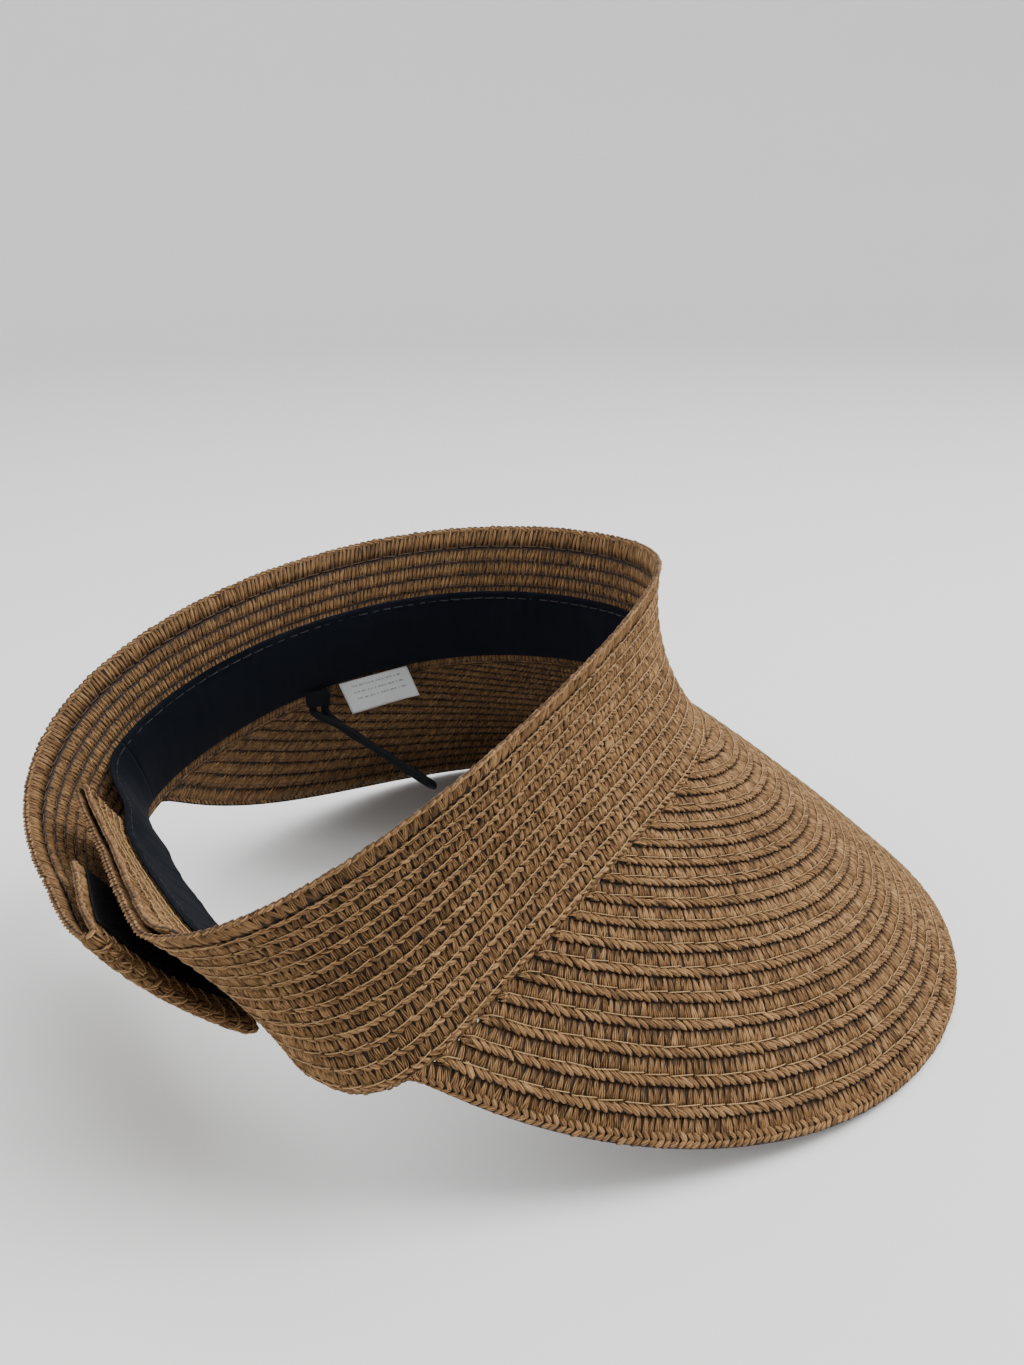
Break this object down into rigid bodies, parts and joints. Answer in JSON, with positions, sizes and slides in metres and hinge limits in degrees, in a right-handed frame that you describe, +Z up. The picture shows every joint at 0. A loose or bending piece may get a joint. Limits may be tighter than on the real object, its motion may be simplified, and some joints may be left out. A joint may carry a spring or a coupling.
{
  "type": "sun visor",
  "caption": "Braided paper-straw sun visor with a wide drooping bill, cloth sweatband, touch-fastened back overlap and elastic keeper loop.",
  "frame": {"origin": "on the surface that the visor stands on, under the middle of its bounding box", "axes": "+Z up, -Y towards the tip of the bill, +X to the wearer's left; the visor stands on the flat outer edge of its bill with the crown leaning back 18 degrees"},
  "size_m": [0.268, 0.3094, 0.1371],
  "materials": {
    "straw_braid": "matte twisted paper",
    "fastener_hook": "rough nylon hooks",
    "fastener_loop": "brushed nylon pile",
    "sweat_cloth": "soft woven cloth",
    "label_satin": "satin",
    "tab_tape": "woven tape",
    "elastic": "braided elastic cover"
  },
  "bodies": {
    "visor": {"crown_course_01": "straw_braid", "crown_course_02": "straw_braid", "crown_course_03": "straw_braid", "crown_course_04": "straw_braid", "crown_course_05": "straw_braid", "crown_course_06": "straw_braid", "crown_course_07": "straw_braid", "crown_course_08": "straw_braid", "crown_course_09": "straw_braid", "crown_course_10": "straw_braid", "crown_course_11": "straw_braid", "crown_course_12": "straw_braid", "bill_course_01": "straw_braid", "bill_course_02": "straw_braid", "bill_course_03": "straw_braid", "bill_course_04": "straw_braid", "bill_course_05": "straw_braid", "bill_course_06": "straw_braid", "bill_course_07": "straw_braid", "bill_course_08": "straw_braid", "bill_course_09": "straw_braid", "bill_course_10": "straw_braid", "bill_course_11": "straw_braid", "bill_course_12": "straw_braid", "bill_course_13": "straw_braid", "bill_course_14": "straw_braid", "bill_course_15": "straw_braid", "bill_course_16": "straw_braid", "bill_course_17": "straw_braid", "bill_course_18": "straw_braid", "bill_course_19": "straw_braid", "near_end_fold": "straw_braid", "loop_pad": "fastener_loop", "sweatband": "sweat_cloth", "keeper_tab": "tab_tape", "keeper_loop": "elastic"},
    "peeling_end": {"far_end_fold": "straw_braid", "hook_pad": "fastener_hook"},
    "label": {"care_label": "label_satin"}
  },
  "joints": [
    {"name": "end_peel", "type": "hinge", "parent": "visor", "child": "peeling_end", "pos_m": [0.00398, 0.13672, 0.05437], "axis": [0.0205, -0.6929, -0.7207], "range_deg": [0, 75]},
    {"name": "label_swing", "type": "hinge", "parent": "visor", "child": "label", "pos_m": [0.07346, 0.01666, 0.08052], "axis": [0.3545, 0.9163, -0.1862], "range_deg": [-15, 50]}
  ]
}
